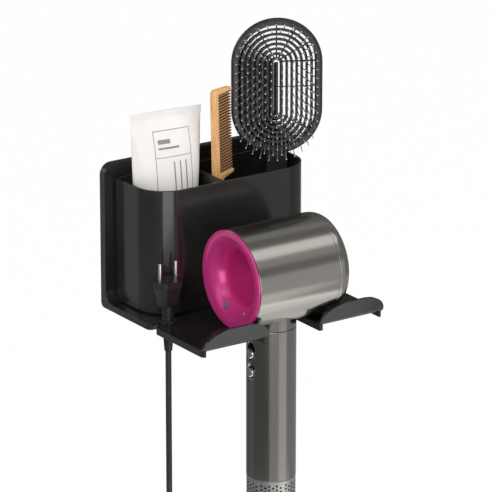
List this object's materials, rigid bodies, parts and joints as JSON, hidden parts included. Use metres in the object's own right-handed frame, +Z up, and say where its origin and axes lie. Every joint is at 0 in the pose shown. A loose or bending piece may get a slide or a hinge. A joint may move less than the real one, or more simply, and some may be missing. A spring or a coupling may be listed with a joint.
{
  "type": "salon styling station",
  "caption": "Wall bracket with a two-part storage caddy, a forked cradle holding a hair dryer, and a notch that parks its plug; brush, comb and tube stand in the caddy.",
  "frame": {"origin": "middle of the four-screw pattern, on the rear face of the wall plate", "axes": "+X to the user's right when facing the station, +Y into the wall, +Z up"},
  "size_m": [0.1672, 0.1459, 0.5092],
  "materials": {
    "charcoal_satin": "satin gloss, charcoal black",
    "brushed_nickel": "brushed along the axis, clear coated",
    "gunmetal_satin": "satin gunmetal",
    "magenta_gloss": "high gloss magenta",
    "heater_mica": "matt",
    "circuit_board": "matt green",
    "silver_button": "polished silver",
    "black_moulding": "matt black",
    "motor_aluminium": "machined",
    "steel_shaft": "ground",
    "soft_rubber": "matt",
    "silver_cage": "satin silver, perforated",
    "steel_mesh": "dark woven mesh",
    "cord_rubber": "matt black",
    "plug_rubber": "satin black",
    "plug_pin_metal": "bright nickel plate",
    "brush_black": "satin black",
    "brush_bristle": "dark grey with pale tips",
    "comb_wood": "pale oiled wood",
    "tube_white": "satin white"
  },
  "bodies": {
    "bracket": {"wall_bracket": "charcoal_satin", "cord_dryer_lead": "cord_rubber", "cord_coil": "cord_rubber", "cord_tie": "cord_rubber", "cord_plug_lead": "cord_rubber", "plug_relief": "plug_rubber", "plug_body": "plug_rubber", "plug_pins": "plug_pin_metal"},
    "caddy": {"caddy_body": "charcoal_satin", "caddy_divider": "charcoal_satin"},
    "dryer": {"head_shell": "brushed_nickel", "rear_funnel": "magenta_gloss", "outlet_ring": "brushed_nickel", "heater_ring": "heater_mica", "control_board": "circuit_board", "neck_collar": "brushed_nickel", "handle_sleeve": "gunmetal_satin", "switch_bezel": "black_moulding", "handle_duct": "black_moulding", "motor_housing": "motor_aluminium", "motor_bearings": "steel_shaft", "motor_mounts": "soft_rubber", "filter_mesh": "steel_mesh", "handle_end_plate": "black_moulding", "cord_gland": "cord_rubber"},
    "power_switch": {"power_switch": "silver_button"},
    "cool_shot_button": {"cool_shot_button": "silver_button"},
    "speed_button": {"speed_button": "silver_button"},
    "heat_button": {"heat_button": "silver_button"},
    "filter_cage": {"filter_cage": "silver_cage"},
    "rotor": {"impeller": "motor_aluminium", "motor_shaft": "steel_shaft"},
    "brush": {"brush_frame": "brush_black", "brush_pad": "brush_black", "brush_bristles": "brush_bristle"},
    "comb": {"wooden_comb": "comb_wood"},
    "tube": {"tube_body": "tube_white"},
    "tube_cap": {"tube_cap": "tube_white"}
  },
  "joints": [
    {"name": "caddy_lift", "type": "slide", "parent": "bracket", "child": "caddy", "axis": [0, 0, 1], "range_m": [0, 0.007]},
    {"name": "dryer_lift", "type": "slide", "parent": "bracket", "child": "dryer", "axis": [0, -0.4226, 0.9063], "range_m": [0, 0.07]},
    {"name": "power_switch_slide", "type": "slide", "parent": "dryer", "child": "power_switch", "axis": [0, 0, 1], "range_m": [0, 0.004]},
    {"name": "cool_shot_press", "type": "slide", "parent": "dryer", "child": "cool_shot_button", "axis": [1, 0, 0], "range_m": [0, 0.0015], "stiffness_N_per_m": 300},
    {"name": "speed_button_press", "type": "slide", "parent": "dryer", "child": "speed_button", "axis": [0.7509, -0.2943, -0.5913], "range_m": [0, 0.0008], "stiffness_N_per_m": 400},
    {"name": "heat_button_press", "type": "slide", "parent": "dryer", "child": "heat_button", "axis": [0.7509, 0.2943, -0.5913], "range_m": [0, 0.0008], "stiffness_N_per_m": 400},
    {"name": "filter_cage_pull", "type": "slide", "parent": "dryer", "child": "filter_cage", "axis": [0, 0, -1], "range_m": [0, 0.038]},
    {"name": "rotor_spin", "type": "hinge", "parent": "dryer", "child": "rotor", "pos_m": [-0.001, -0.1085, -0.135], "axis": [0, 0, 1], "continuous": true},
    {"name": "brush_lift", "type": "slide", "parent": "caddy", "child": "brush", "axis": [0, 0, 1], "range_m": [0, 0.1]},
    {"name": "comb_lift", "type": "slide", "parent": "caddy", "child": "comb", "axis": [0, 0, 1], "range_m": [0, 0.1]},
    {"name": "tube_lift", "type": "slide", "parent": "caddy", "child": "tube", "axis": [0, 0, 1], "range_m": [0, 0.1]},
    {"name": "tube_cap_turn", "type": "hinge", "parent": "tube", "child": "tube_cap", "pos_m": [-0.0402, -0.0288, -0.035], "axis": [0, 0, 1], "continuous": true}
  ]
}
